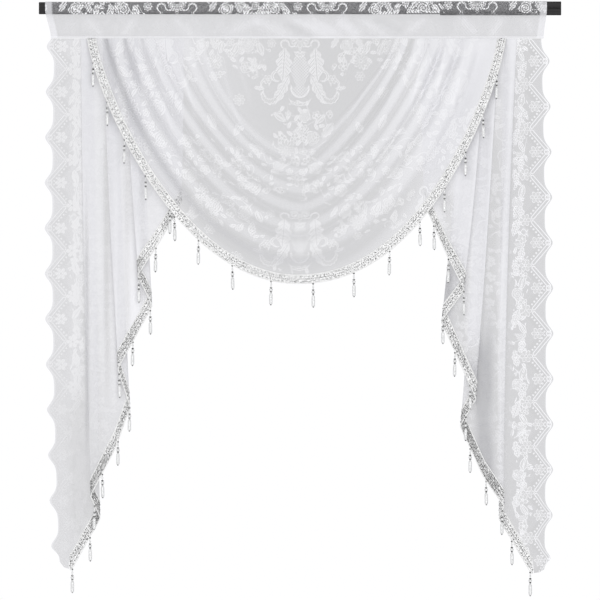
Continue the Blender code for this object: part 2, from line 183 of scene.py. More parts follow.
def off_lattice(cloth, pitch):
    """From 0 on the lines of a lattice that slants both ways to 1 in the middle of its diamonds."""
    across, down = cloth.split()
    slant = math.pi / pitch
    return abs(((across + down) * slant).sine()).least(abs(((across - down) * slant).sine()))


def net(cloth):
    """The fine diamond net that carries the pattern: how much of each spot its threads cover."""
    threads = off_lattice(cloth, NET_PITCH).rise(0.42, 0.16)
    return threads * 0.36 - 0.11 + cloth.noise(SLUBS_TO_A_METRE, 1.0) * 0.30


def placed(cloth, across, down, wide, long, turn=0.0):
    """Places on the cloth as seen from one motif, in its own half sizes."""
    motif = {"Location": (across, down, 0), "Rotation": (0, 0, math.radians(turn)), "Scale": (wide, long, 1)}
    return cloth.finish.node("ShaderNodeMapping", {"vector_type": "TEXTURE"}, {"Vector": cloth, **motif})


def ringed(cloth, across, down, reach, turn=0.0):
    """A distance from the motif's middle, in reaches, the angle round it, and the distance along it."""
    local = placed(cloth, across, down, reach, reach, turn)
    aside, along = local.split()
    return local.length(), along.maths("ARCTAN2", aside), along


def rose(cloth, across, down, reach, turn):
    """A spiral rose. Each motif gives its depth: how many metres a spot lies inside the motif's edge."""
    far, angle, _ = ringed(cloth, across, down, reach, turn)
    body = (0.80 - far + abs((angle * 2.5).cosine()) * 0.20) * reach
    return body.least(((far * 20.0 + angle).sine() + 0.50) * 0.0016)


def daisy(cloth, across, down, reach, petals):
    far, angle, _ = ringed(cloth, across, down, reach)
    petal = abs((angle * (petals / 2)).cosine())
    body = (petal * 0.40 + 0.60 - far).least(far - 0.14) * reach
    return body.least((petal - 0.12) * 0.006)


def leaf(cloth, across, down, long, wide, turn, lobes):
    along, aside = placed(cloth, across, down, long / 2, wide / 2, turn).split()
    off = abs(aside)
    body = 1 - along * along
    if lobes:
        body = body * (0.64 + abs((along * lobes + off).cosine()) * 0.36)
    body = (body - off).least(off - 0.05) * (wide / 2)
    return body.least(((along * lobes - off * 3.0) * 4.5).sine() * 0.0012 + 0.0013) if lobes else body


def scroll(cloth, across, down, radius, wide, turn, sweep, lobes):
    """Part of a ring, thickest at its middle: turn is where the middle points, sweep half its angle."""
    far, angle, _ = ringed(cloth, across, down, radius, turn)
    share = angle * (1 / math.radians(sweep))
    body = (1 - share * share) * (wide / 2)
    if lobes:
        body = body * (0.60 + abs((angle * lobes).cosine()) * 0.40)
    return body - abs(far - 1) * radius


def fan(cloth, across, down, reach, rays):
    far, angle, along = ringed(cloth, across, down, reach)
    petal = abs((angle * (rays / 2)).cosine())
    body = (0.86 + petal * 0.14 - far).least(far - 0.22).least(along + 0.08) * reach
    return body.least((petal - 0.3) * 0.005)


def trellis(cloth, pitch):
    """A lattice of thin canes."""
    return (0.40 - off_lattice(cloth, pitch)) * (pitch / 3)


def basket(cloth, canes, across, down, reach):
    far, _, along = ringed(cloth, across, down, reach)
    bowl = (1 - far).least(along + 0.1) * reach
    return bowl.least(canes).most((0.08 - abs(far - 1)).least(along + 0.3) * reach)


def scattered(cloth, pitch, shift, share):
    """Places as seen from the nearest of a scatter of middles, a number for each middle, and the depth that
    leaves only this share of them."""
    finish = cloth.finish
    moved = finish.node("ShaderNodeVectorMath", {}, {0: cloth, 1: (shift, shift, 0)})
    scatter = {"Vector": moved, "Scale": 1 / pitch, "Randomness": 0.6}
    tints = finish.node("ShaderNodeTexVoronoi", {"voronoi_dimensions": "2D"}, scatter, "Color")
    middle = tints.part("Position")
    local = finish.node("ShaderNodeVectorMath", {"operation": "SUBTRACT"}, {0: moved, 1: middle})
    red = finish.node("ShaderNodeSeparateColor", {}, {0: tints})
    return local, red, share - red.part("Green")


def florets(cloth, pitch, reach):
    local, chance, kept = scattered(cloth, pitch, 0.0, 0.62)
    across, down = local.split()
    petal = abs(((down.maths("ARCTAN2", across) + chance * math.tau) * 2.5).cosine())
    far = local.length()
    body = (petal * 0.38 + 0.62) * (chance * 0.45 + 0.7) * reach - far
    return body.least(far - 0.0016).least((petal - 0.10) * 0.006).least(kept)


def leaflets(cloth, pitch, long, wide):
    local, chance, kept = scattered(cloth, pitch, 0.37, 0.58)
    turned_leaf = {"Vector": local, "Angle": chance * 14.0}
    along, aside = cloth.finish.node("ShaderNodeVectorRotate", {}, turned_leaf).split()
    off, share = abs(aside), along * (2 / long)
    return ((1 - share * share) * (wide / 2) - off).least(off - 0.0003).least(kept)


def vines(cloth, scale):
    lifted = cloth.finish.node("ShaderNodeVectorMath", {}, {0: cloth, 1: (0.011, 0.017, 0.43 / scale)})
    return (0.014 - abs(lifted.noise(scale, 0.0) - 0.5)) * (0.7 / scale)


def sprays(cloth):
    """Small flowers, leaves and stems that fill the damask between its larger motifs."""
    return florets(cloth, 0.030, 0.0115).most(leaflets(cloth, 0.0200, 0.021, 0.0090)).most(vines(cloth, 26.0))


def wandering(cloth):
    """A slow wander, in metres either way, that loosens the edges of the sprays."""
    return (cloth.noise(22.0, 1.0) - 0.5) * 0.16


# Motifs of one repeat of the damask, in metres from the middle of its top.
ROSES = (
    # across, down, reach, turn
    (0.012, 0.19, 0.0165, 20),
    (-0.004, 0.229, 0.0135, 190),
    (0.03, 0.243, 0.019, 100),
    (-0.05, 0.318, 0.0175, 0),
    (0.038, 0.324, 0.0185, 60),
    (0.116, 0.019, 0.0175, 30),
    (-0.13, 0.019, 0.019, 80),
    (-0.11, 0.392, 0.0175, 200),
    (0.104, 0.4, 0.0185, 10),
)
DAISIES = (
    # across, down, reach, petals
    (-0.034, 0.268, 0.022, 12),
    (-0.07, 0.012, 0.0115, 8),
    (-0.008, 0.36, 0.019, 8),
    (0.15, 0.056, 0.019, 11),
    (-0.146, 0.33, 0.018, 9),
    (0.138, 0.33, 0.017, 7),
    (0.148, 0.093, 0.0125, 6),
    (0.08, 0.101, 0.012, 6),
    (-0.08, 0.101, 0.012, 6),
    (-0.15, 0.15, 0.015, 8),
)
LEAVES = (
    # across, down, long, wide, turn, lobes
    (0.068, 0.224, 0.05, 0.024, -52, 6),
    (0.147, 0.012, 0.04, 0.018, 66, 5),
    (0.086, 0.011, 0.036, 0.016, -58, 5),
    (-0.05, 0.192, 0.04, 0.016, 35, 0),
    (0.05, 0.197, 0.036, 0.015, -40, 0),
    (-0.04, 0.246, 0.046, 0.02, 55, 6),
    (0.1, 0.3, 0.054, 0.024, -30, 7),
    (-0.104, 0.276, 0.05, 0.022, 28, 6),
    (0.166, 0.022, 0.036, 0.015, 100, 0),
    (-0.098, 0.026, 0.04, 0.017, 70, 0),
    (-0.16, 0.026, 0.038, 0.017, 112, 0),
    (0.108, 0.06, 0.04, 0.016, 84, 5),
    (-0.114, 0.066, 0.044, 0.018, 96, 6),
)
# Motifs that stand on both sides of its middle line.
TWIN_SCROLLS = (
    # across, down, radius, wide, turn, sweep, lobes
    (0.019, 0.0125, 0.0085, 0.0042, 150, 150, 0),
    (0.037, 0.015, 0.01, 0.0056, -70, 165, 7),
    (0.056, 0.093, 0.012, 0.007, -20, 150, 0),
    (0.074, 0.136, 0.018, 0.015, 84, 118, 7),
    (0.0, 0.129, 0.033, 0.008, 90, 62, 9),
    (0.086, 0.113, 0.01, 0.006, -60, 160, 0),
    (0.016, 0.213, 0.015, 0.0032, 160, 110, 0),
)
TWIN_LEAVES = (
    # across, down, long, wide, turn, lobes
    (0.04, 0.064, 0.084, 0.042, 86, 6),
    (0.045, 0.126, 0.084, 0.028, 62, 6),
    (0.15, 0.23, 0.044, 0.02, 62, 6),
    (0.09, 0.142, 0.03, 0.013, -64, 5),
    (0.101, 0.122, 0.028, 0.012, -10, 5),
)


def spot(across, down):
    """A place from its two numbers."""
    return across.finish.node("ShaderNodeCombineXYZ", {}, {"X": across, "Y": down})


def folded_down_middle(cloth):
    """The same place in one repeat of the damask, as it is and with its left half turned over to the right,
    and the second place's two numbers."""
    across, down = cloth.split()
    down = (down + REPEAT_START) % REPEAT_LONG - REPEAT_START
    across = (across + REPEAT_WIDE / 2) % REPEAT_WIDE - REPEAT_WIDE / 2
    aside = abs(across)
    return spot(across, down), spot(aside, down), aside, down


def twin_motifs(folded):
    return [scroll(folded, *row) for row in TWIN_SCROLLS] + [leaf(folded, *row) for row in TWIN_LEAVES]


def deepest(depths):
    """The depth in whichever of these motifs a spot lies deepest."""
    deep = depths[0]
    for depth in depths[1:]:
        deep = deep.most(depth)
    return deep


def damask(cloth):
    """The repeating pattern, as a depth."""
    whole, folded, aside, down = folded_down_middle(cloth)
    canes = trellis(folded, CANE_PITCH)
    column = 0.026 - aside - abs(down - 0.078) * 0.42
    motifs = [rose(whole, *row) for row in ROSES] + [daisy(whole, *row) for row in DAISIES]
    motifs += [leaf(whole, *row) for row in LEAVES] + twin_motifs(folded)
    motifs += [fan(folded, 0.0, 0.001, 0.024, 12), fan(folded, 0.0, 0.034, 0.014, 10)]
    motifs += [basket(folded, canes, 0.0, 0.122, 0.022), canes.least(column)]
    # Sprays fill the repeat's corners, the bouquet over its basket and two rows low in it.
    corners = (aside - 0.095).least(0.055 - abs(down - 0.030))
    bouquet = 0.072 - (aside * aside + (down - 0.222) * (down - 0.222)) ** 0.5
    rows = 0.056 - abs(down - 0.345)
    return deepest([*motifs, sprays(cloth).least(corners.most(bouquet).most(rows) + wandering(whole))])


def lace(name, pattern, fill, cord, hidden):
    """A lace finish: its net, and the pattern worked on it with corded edges. fill and cord say how much of
    a spot the motifs and their edges cover. Gathers above 0 make the lace denser and hide this much of the
    pattern. Gathers below 0 are painted shade: they darken the thread towards a grey and make the lace a
    little denser, standing in for the shade deep in a fold."""
    finish = Finish(name, {"Specular IOR Level": 0.25, "Sheen Weight": 0.15, "Sheen Roughness": 0.5})
    cloth = finish.node("ShaderNodeUVMap", {"uv_map": "cloth"}, {})
    gathers_and_shade = finish.node("ShaderNodeAttribute", {"attribute_name": "gathers_and_shade"}, {}, "Fac")
    depth, ground = pattern(cloth)
    worked = depth.rise(-0.0002, 0.0006) * (1 - gathers_and_shade.most(0.0) * hidden)
    corded = 1 - depth.rise(0.0012, 0.0026)
    satin = cloth.noise(900.0, 1.0)
    floats = (floats_across(cloth) * (math.tau / FLOAT_PITCH)).sine() * 0.13
    covered = ground + (fill + corded * cord + floats + satin * 0.10 - ground) * worked
    # Painted shade: how far the gathers fall below 0, darkening the thread and thickening the lace.
    hollow = gathers_and_shade.least(0.0) * -1
    finish.feed("Alpha", 1 - (1 - covered) * (1 - gathers_and_shade.most(0.0) - hollow * 0.5))
    thread = finish.blend(worked, THREAD_SHADE, THREAD_WHITE)
    finish.feed("Base Color", finish.blend(hollow, thread, THREAD_PAINTED_SHADE))
    finish.feed("Roughness", 0.82 - worked * 0.22)
    finish.feed_relief(satin, 0.0004, 0.25)
    return finish.material


def floats_across(cloth):
    """How far a spot lies across the slanting threads that fill the motifs."""
    slant = {0: cloth, 1: (0.8, 0.6, 0)}
    return cloth.finish.node("ShaderNodeVectorMath", {"operation": "DOT_PRODUCT"}, slant, "Value")


def damask_on_net(cloth):
    """The pattern and the net of plain lace."""
    return damask(cloth), net(cloth)


def damask_on_thin_net(cloth):
    """The damask where the lace is stretched over the rod and its motifs part into blades, fading into the
    double skirt under the rod."""
    under = abs(cloth.split()[1]).rise(0.020, 0.032)
    _, _, aside, down = folded_down_middle(cloth)
    blades = ((aside * 0.9 + down * 0.7) * (math.tau / BLADE_PITCH)).sine()
    depth = damask(cloth).least(0.004 - under * 0.004) - (blades - 0.4).most(0.0) * 0.0034
    return depth, net(cloth) * (1.35 - under * 0.55)


def eased(rows, places):
    """Rows of a table read at these places between them, on one smooth curve through every row."""
    low = np.clip(np.floor(places).astype(int), 0, len(rows) - 2)
    t = (places - low).reshape(-1, *[1] * (rows.ndim - 1))
    before, a, b, after = (rows[np.clip(low + k, 0, len(rows) - 1)] for k in (-1, 0, 1, 2))
    bend, twist = 2 * before - 5 * a + 4 * b - after, 3 * (a - b) + after - before
    return a + 0.5 * t * (b - before + t * (bend + t * twist))


def creased(grid, creases):
    """How far each point stands forward, and how gathered it is, from soft creases in the front view.

    Each crease is a line from (x, z) to (x, z), with its half width, its height and its gathers. Gathers
    below 0 are painted shade, darkening the lace along the crease."""
    forward, gathers_and_shade = np.zeros(grid.shape[:2]), np.zeros(grid.shape[:2])
    for x0, z0, x1, z1, half_width, height, density_and_shade in creases:
        run, fall = x1 - x0, z1 - z0
        share = ((grid[..., 0] - x0) * run + (grid[..., 2] - z0) * fall) / (run * run + fall * fall)
        held = np.clip(share, 0.0, 1.0)
        off = np.hypot(grid[..., 0] - x0 - run * held, grid[..., 2] - z0 - fall * held)
        fade = np.clip(4 * share, 0, 1) * np.clip(4 * (1 - share), 0, 1)
        soft = np.exp(-((off / half_width) ** 2)) * fade
        forward += height * soft
        gathers_and_shade += density_and_shade * soft
    return forward, gathers_and_shade


def quads_between(place):
    """The four-sided faces between these rows of point numbers."""
    return np.stack([place[:-1, :-1], place[:-1, 1:], place[1:, 1:], place[1:, :-1]], axis=-1).reshape(-1, 4)


def hung_piece(mesh, node):
    """The piece with this mesh, in place of this solid."""
    mesh.shade_smooth()
    piece = bpy.data.objects.new(mesh.name, mesh)
    bpy.context.scene.collection.objects.link(piece)
    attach(piece, "root")
    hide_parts(node)
    return piece


def cloth_piece(name, node, grid, cloth, gathers_and_shade, finish):
    """One layer of cloth through a grid of points, with each point's place on the flat cloth in metres."""
    quads = quads_between(np.arange(grid[..., 0].size).reshape(grid.shape[:2]))
    mesh = bpy.data.meshes.new(name)
    mesh.from_pydata(grid.reshape(-1, 3).tolist(), [], quads.tolist())
    flat = mesh.uv_layers.new(name="cloth")
    corner = np.empty(len(mesh.loops), np.int32)
    mesh.loops.foreach_get("vertex_index", corner)
    flat.data.foreach_set("uv", cloth.reshape(-1, 2)[corner].astype(np.float32).ravel())
    density_and_shade = mesh.attributes.new("gathers_and_shade", "FLOAT", "POINT")
    density_and_shade.data.foreach_set("value", np.clip(gathers_and_shade, -1.0, 0.9).astype(np.float32).ravel())
    mesh.materials.append(finish)
    return hung_piece(mesh, node)


def smoothly(x):
    """Goes softly from 0 to 1 as x does."""
    x = np.clip(x, 0.0, 1.0)
    return x * x * (3 - 2 * x)


def run_along(path):
    """How far along a row of points each one lies."""
    return np.concatenate([[0.0], np.cumsum(np.linalg.norm(np.diff(path, axis=0), axis=1))])


SEAM_Z = -0.072
RAIL_TOP, SLEEVE_TOP = 0.0150, 0.0165
RAIL_DEPTH, SLEEVE_DEPTH = 0.0058, 0.0090
POCKET_LEFT, POCKET_SEAM_LEFT = -0.6112, -0.5975
POCKET_RIGHT, POCKET_SEAM_RIGHT = 0.5920, 0.5840
SKIRT_FRONT, SKIRT_BACK = -0.0128, 0.0014
POCKET_CORNER, POCKET_LOOSE, POCKET_OVER_TOP = 0.0032, 0.0024, 0.0010
SLEEVE_STARTS, SLEEVE_FULL = 0.20, 0.28
POCKET_SECTIONS, POCKET_STEPS = 260, 5
POCKET_PATTERN_X, POCKET_PATTERN_UP, POCKET_HEM, SKIRT_TOP = 0.065, 0.004, 0.016, -0.018
# Gathers of the skirt's front layer, the same amount below 0 as painted shade on its back one, and gathers of
# the end hems and the seam.
SKIRT_DENSITY_AND_SHADE, HEM_DENSER, SEAM_DENSER = 0.16, 0.55, 0.45
POCKET_CREASES = (
    # x0, z0, x1, z1, half_width, height, gathers (below 0, painted shade)
    (-0.04, -0.012, 0.09, -0.076, 0.0119, 0.0016, 0.4),
    (0.01, -0.012, 0.106, -0.07, 0.0102, 0.0014, 0.34),
    (-0.04, -0.03, 0.04, -0.074, 0.0102, -0.0014, -0.2),
    (-0.075, -0.014, -0.19, -0.068, 0.0136, 0.0012, 0.2),
    (-0.13, -0.016, -0.01, -0.074, 0.0136, 0.0012, 0.24),
    (0.08, -0.018, 0.15, -0.072, 0.014, 0.0012, 0.4),
    (0.13, -0.016, 0.22, -0.074, 0.0109, 0.0012, 0.24),
    (0.17, -0.016, 0.27, -0.07, 0.0102, -0.0012, -0.18),
    (0.31, -0.016, 0.235, -0.072, 0.0112, 0.0012, 0.26),
    (0.38, -0.014, 0.43, -0.07, 0.0116, 0.0012, 0.26),
    (0.49, -0.014, 0.455, -0.072, 0.0102, 0.0012, 0.28),
    (0.54, -0.016, 0.56, -0.068, 0.0095, 0.001, 0.22),
    (-0.31, -0.016, -0.25, -0.072, 0.0112, 0.0012, 0.2),
    (-0.39, -0.014, -0.43, -0.07, 0.0116, 0.0012, 0.2),
    (-0.52, -0.016, -0.47, -0.072, 0.0102, 0.0012, 0.2),
)


def pocket_section(x):
    """The pocket's section here as (y, z): up its front, over the rod and down its back."""
    on_sleeve = smoothly((x - SLEEVE_STARTS) / (SLEEVE_FULL - SLEEVE_STARTS))
    deep = (RAIL_DEPTH + (SLEEVE_DEPTH - RAIL_DEPTH) * on_sleeve) / 2 + POCKET_LOOSE
    top = RAIL_TOP + (SLEEVE_TOP - RAIL_TOP) * on_sleeve + POCKET_OVER_TOP
    middle = -SLEEVE_DEPTH / 2
    front = [(SKIRT_FRONT, SEAM_Z + 0.0006)]
    front += [(SKIRT_FRONT, SEAM_Z * share) for share in (0.9, 0.75, 0.6, 0.5)]
    face, corner = middle - deep, POCKET_CORNER
    front += [(face, SEAM_Z * 0.26), (face, 0.0), (face, top - corner * 1.4)]
    front += [(face + corner * 0.22, top - corner * 0.25), (face + corner, top)]
    back = [
        (2 * middle - y, z) if z > SEAM_Z * 0.4 else (SKIRT_FRONT + SKIRT_BACK - y, z)
        for y, z in reversed(front)
    ]
    return np.array([*front, (middle, top), *back])


pocket_x = np.linspace(0.0, 1.0, POCKET_SECTIONS + 1)
pocket_steps = np.arange(0, len(pocket_section(0.0)) - 1 + 1e-9, 1 / POCKET_STEPS)
pocket_grid = np.zeros((POCKET_SECTIONS + 1, len(pocket_steps), 3))
for i, pocket_share in enumerate(pocket_x):
    ring = eased(pocket_section(POCKET_LEFT + (POCKET_RIGHT - POCKET_LEFT) * pocket_share), pocket_steps)
    narrowed = smoothly(ring[:, 1] / SEAM_Z)
    left_end = POCKET_LEFT + (POCKET_SEAM_LEFT - POCKET_LEFT) * narrowed
    right_end = POCKET_RIGHT + (POCKET_SEAM_RIGHT - POCKET_RIGHT) * narrowed
    pocket_grid[i] = np.column_stack([left_end + (right_end - left_end) * pocket_share, ring])
pocket_forward, pocket_gathers_and_shade = creased(pocket_grid, POCKET_CREASES)
pocket_skirt = smoothly((SKIRT_TOP - pocket_grid[..., 2]) / 0.012)
pocket_stitches = np.diff(pocket_grid, axis=1, prepend=pocket_grid[:, :1])
pocket_run = np.cumsum(np.linalg.norm(pocket_stitches, axis=2), axis=1)
pocket_top = pocket_run[:, [len(pocket_steps) // 2]]
pocket_down = pocket_top - pocket_run - POCKET_PATTERN_UP
pocket_flat = np.stack([pocket_grid[..., 0] - POCKET_PATTERN_X, pocket_down], axis=2)
pocket_ends = pocket_grid[:1, :, 0], pocket_grid[-1:, :, 0]
from_end = np.minimum(pocket_grid[..., 0] - pocket_ends[0], pocket_ends[1] - pocket_grid[..., 0])
# Painted shade on the skirt's back layer, where the value is below 0.
pocket_gathers_and_shade += np.where(pocket_down > 0, SKIRT_DENSITY_AND_SHADE, -SKIRT_DENSITY_AND_SHADE) * pocket_skirt
pocket_gathers_and_shade += HEM_DENSER * (from_end < POCKET_HEM)
pocket_gathers_and_shade += SEAM_DENSER * smoothly((SEAM_Z + 0.0055 - pocket_grid[..., 2]) / 0.002)
pocket_grid[..., 1] -= pocket_forward * pocket_skirt * smoothly((pocket_grid[..., 2] - SEAM_Z) / 0.006)
pocket_lace = lace("pocket_lace", damask_on_thin_net, fill=0.26, cord=0.70, hidden=0.7)
pocket = cloth_piece("rod_pocket_lace", "rod_pocket", pocket_grid, pocket_flat, pocket_gathers_and_shade, pocket_lace)


# Swag. One panel of the lace hangs from the seam between its two shoulders, where its sides are pleated
# up, so that it falls in deep folds below a nearly flat panel. Its folds follow hanging curves.

SWAG_SEAM_Y, SWAG_BELLY, BELLY_CURVE = -0.0102, 0.060, 0.7
SWAG_HEM_Z, SHOULDER = -0.6588, 0.79
FOLD_PINCH_Z, FOLD_AT_SEAM, SEWN_GAP = 0.055, 0.15, 0.0004
SWAG_RAILS = np.array((
    # left_x, left_curve, low_x, low_z, right_x, right_curve, left_lift, low_lift, right_lift
    (-0.2232, 2.0, 0.0, SEAM_Z, 0.2232, 2.0, 0.0, 0.0, 0.0),
    (-0.229, 2.05, 0.012, -0.333, 0.225, 1.1, 0.0, 0.0, 0.0),
    (-0.237, 2.0, 0.012, -0.356, 0.231, 1.1, 0.003, 0.006, 0.008),
    (-0.256, 1.95, 0.012, -0.3732, 0.24, 1.15, -0.003, -0.005, 0.002),
    (-0.278, 1.85, 0.012, -0.392, 0.254, 1.25, 0.005, 0.006, 0.009),
    (-0.3, 1.8, 0.01, -0.413, 0.268, 1.35, -0.004, -0.006, -0.008),
    (-0.3215, 1.75, 0.008, -0.434, 0.286, 1.42, 0.005, 0.007, 0.007),
    (-0.341, 1.7, 0.005, -0.456, 0.306, 1.47, -0.005, -0.006, 0.001),
    (-0.36, 1.7, 0.003, -0.478, 0.324, 1.52, 0.006, 0.007, 0.008),
    (-0.379, 1.72, 0.001, -0.5004, 0.343, 1.57, -0.007, -0.006, -0.008),
    (-0.3985, 1.75, -0.001, -0.525, 0.363, 1.62, 0.006, 0.007, 0.006),
    (-0.42, 1.8, -0.003, -0.546, 0.386, 1.7, -0.008, -0.006, -0.008),
    (-0.442, 1.85, -0.004, -0.5748, 0.41, 1.8, 0.006, 0.007, 0.006),
    (-0.464, 1.92, -0.006, -0.6048, 0.437, 1.95, -0.008, -0.008, -0.006),
    (-0.489, 1.98, -0.007, -0.639, 0.473, 2.15, 0.003, 0.004, 0.003),
    (-0.5088, 2.0, -0.007, SWAG_HEM_Z, 0.492, 2.2, 0.004, 0.005, 0.004),
))
BRAID_RAIL, SWAG_COLUMNS, PANEL_ROWS, ROWS_A_RAIL = 14, 220, 30, 10
CREST_BREADTH, SIDE_SPREAD, PLEAT_TAKES_UP = 1.7, 1.5, 1.03
# How far across and down the pattern jumps at each fold's hollow, where cloth is tucked out of sight.
TUCK = (0.006, 0.024)
# How gathered each rail is at the left shoulder, at the bottom and at the right shoulder. Values below 0, in
# the hollows, are painted shade.
SWAG_GATHERS_AND_SHADE = np.array((
    (0.24, 0.02, 0.05),
    (0.26, 0.02, -0.44),
    (0.52, 0.26, 0.46),
    (0.4, 0.0, 0.16),
    (0.58, 0.28, 0.66),
    (0.26, -0.08, -0.44),
    (0.6, 0.26, 0.76),
    (0.0, -0.1, 0.3),
    (0.58, 0.26, 0.8),
    (-0.54, -0.16, 0.56),
    (0.58, 0.24, 0.86),
    (-0.7, -0.3, 0.6),
    (0.54, 0.22, 0.92),
    (-0.94, -0.58, 0.9),
    (0.3, 0.1, 0.88),
    (0.3, 0.1, 0.88),
))
SWAG_CREASES = (
    # x0, z0, x1, z1, half_width, height, gathers
    (-0.205, -0.08, -0.13, -0.33, 0.006, 0.002, 0.14),
    (-0.165, -0.08, -0.11, -0.25, 0.0055, 0.0014, 0.1),
    (-0.3, -0.08, -0.24, -0.3, 0.006, 0.0022, 0.16),
    (-0.35, -0.09, -0.3, -0.33, 0.0055, 0.0022, 0.16),
    (-0.4, -0.09, -0.35, -0.3, 0.0055, 0.002, 0.14),
    (0.215, -0.082, 0.1, -0.3, 0.006, 0.0022, 0.12),
    (0.255, -0.082, 0.21, -0.23, 0.0055, 0.002, 0.16),
    (0.3, -0.085, 0.262, -0.26, 0.006, 0.0024, 0.18),
    (0.35, -0.085, 0.318, -0.27, 0.0055, 0.0022, 0.16),
    (0.4, -0.085, 0.362, -0.26, 0.0055, 0.002, 0.16),
)


def crested(down):
    """Places in rails moved towards the even rails, the crests, so that hollows are narrow."""
    crest = 2 * np.round(down / 2)
    moved = crest + np.sign(down - crest) * np.abs(down - crest) ** CREST_BREADTH
    return np.where((down > 2) & (down < BRAID_RAIL), moved, down)


def swag_surface(across, down):
    """Points of the swag, for places across it and for places down it in rails: 2.5 is between 2 and 3."""
    away, left = np.abs(across)[None, :], (across < 0)[None, :]
    curves = eased(SWAG_RAILS[1:, :6], np.maximum(down - 1, 0))
    rows = np.column_stack([curves, eased(SWAG_RAILS[:, 6:], crested(down))])
    panel = down < 1
    rows[panel] = SWAG_RAILS[0] + (SWAG_RAILS[1] - SWAG_RAILS[0]) * down[panel, None]
    columns = (column[:, None] for column in rows.T)
    left_x, left_curve, low_x, low_z, right_x, right_curve, left_lift, low_lift, right_lift = columns
    x = low_x + np.where(left, left_x - low_x, right_x - low_x) * away
    curve = np.where(left, left_curve, right_curve)
    z = low_z + (SEAM_Z - low_z) * (1 - np.clip(1 - away**curve, 0.0, 1.0) ** SHOULDER)
    lift = low_lift + np.where(left, left_lift - low_lift, right_lift - low_lift) * away
    lift = lift * (FOLD_AT_SEAM + (1 - FOLD_AT_SEAM) * smoothly((SEAM_Z - z) / FOLD_PINCH_Z))
    drop = np.clip((SEAM_Z - z) / (SEAM_Z - SWAG_HEM_Z), 0.0, 1.0)
    y = SWAG_SEAM_Y - SWAG_BELLY * drop**BELLY_CURVE - lift
    return np.stack([x, y, z - SEWN_GAP], axis=2).transpose(1, 0, 2)


swag_across = np.sin(np.linspace(-1, 1, SWAG_COLUMNS + 1) * math.pi / 2)
folds_down = np.arange(1, BRAID_RAIL, 1 / ROWS_A_RAIL)[1:]
swag_down = np.concatenate([np.linspace(0, 1, PANEL_ROWS), folds_down, [BRAID_RAIL + 0.03]])
swag_grid = swag_surface(swag_across, swag_down)
swag_forward, swag_gathers_and_shade = creased(swag_grid, SWAG_CREASES)
pinch = smoothly((SEAM_Z - swag_grid[..., 2]) / FOLD_PINCH_Z)
swag_grid[..., 1] -= swag_forward * pinch
rail_gathers_and_shade = eased(SWAG_GATHERS_AND_SHADE, crested(swag_down))
side_share = np.abs(swag_across)[:, None] ** SIDE_SPREAD
side_gathers_and_shade = np.where(swag_across[:, None] < 0, rail_gathers_and_shade[:, 0], rail_gathers_and_shade[:, 2])
swag_gathers_and_shade += rail_gathers_and_shade[:, 1] * (1 - side_share) + side_gathers_and_shade * side_share
middle_column = swag_grid[SWAG_COLUMNS // 2]
flat_down = np.interp(-swag_grid[..., 2], -middle_column[:, 2], run_along(middle_column))
swag_flat = np.stack([swag_grid[..., 0] * PLEAT_TAKES_UP, flat_down], axis=2)
tucked = sum(smoothly((swag_down - hollow + 0.18) / 0.36) for hollow in range(3, BRAID_RAIL, 2))
swag_flat += tucked[:, None] * side_share[..., None] * TUCK
swag_lace = lace("swag_lace", damask_on_net, fill=0.12, cord=0.42, hidden=0.7)
swag = cloth_piece("swag_lace_panel", "swag", swag_grid, swag_flat, swag_gathers_and_shade, swag_lace)


# Tails. Each is a long panel whose scalloped lace border hangs at the outside of the drape. It is folded
# back and forth into cascading pleats, so its slanted hem zigzags up to the inner edge.

TAIL_SEAM_Y, TAIL_PRESS, FLARE_CURVE = -0.0022, 0.10, 0.8
TURN_AT_SEAM, TURN_AT_HEM, TURN_INSET, TURN_SHARE = 0.0010, 0.0048, 1.2, 0.1
BRAID_RISE, CLEAR_OF_BRAID = 0.038, 1.02
SCALLOP_PITCH, SCALLOP_DEPTH, SCALLOP_ROUND, SCALLOP_FADE = 0.1090, 0.0185, 1.9, 0.034
# The looped and dotted line of the border: how far in it starts at a point, and how far it slants in.
LINE_START, LINE_RISE = 0.0050, 0.0460
LOOP_ROUND, LOOP_HALF_WIDE, LOOP_SHORT = 0.0036, 0.0013, 0.0072
DOT_PITCH, DOT_OFF, DOT_REACH = 0.0092, 0.0100, 0.0026
BORDER_INNER_EDGE, BORDER_EDGE_SOFT, OUTER_EDGE_SOFT, OUTER_HEM = 0.116, 0.016, 0.026, 0.0025
OUTER_HEM_DENSER, SEAM_PLEATS_DENSER = 0.45, 0.10
TAIL_ROWS, COLUMN_STEP = 240, 0.0032
TIP_LINE = 2
LEFT_TAIL = (
    # kind, seam_out, middle_out, hem_out, hem_z, depth
    ("flat", 0.589, 0.5935, 0.577, -1.327, 0.0),
    ("flat", 0.568, 0.572, 0.566, -1.341, 0.002),
    ("flat", 0.561, 0.565, 0.557, -1.347, 0.003),
    ("fold", 0.4944, 0.487, 0.479, -1.2216, 0.008),
    ("fold", 0.5256, 0.519, 0.5026, -1.17, -0.01),
    ("flat", 0.484, 0.468, 0.44, -1.056, -0.009),
    ("fold", 0.4416, 0.426, 0.4073, -0.9552, -0.001),
    ("fold", 0.4728, 0.459, 0.4368, -0.864, -0.022),
    ("fold", 0.3888, 0.37, 0.3538, -0.7128, -0.013),
    ("fold", 0.4224, 0.409, 0.3888, -0.6408, -0.034),
    ("flat", 0.336, 0.335, 0.3336, -0.5568, -0.031),
    ("flat", 0.2784, 0.28, 0.2832, -0.468, -0.033),
)
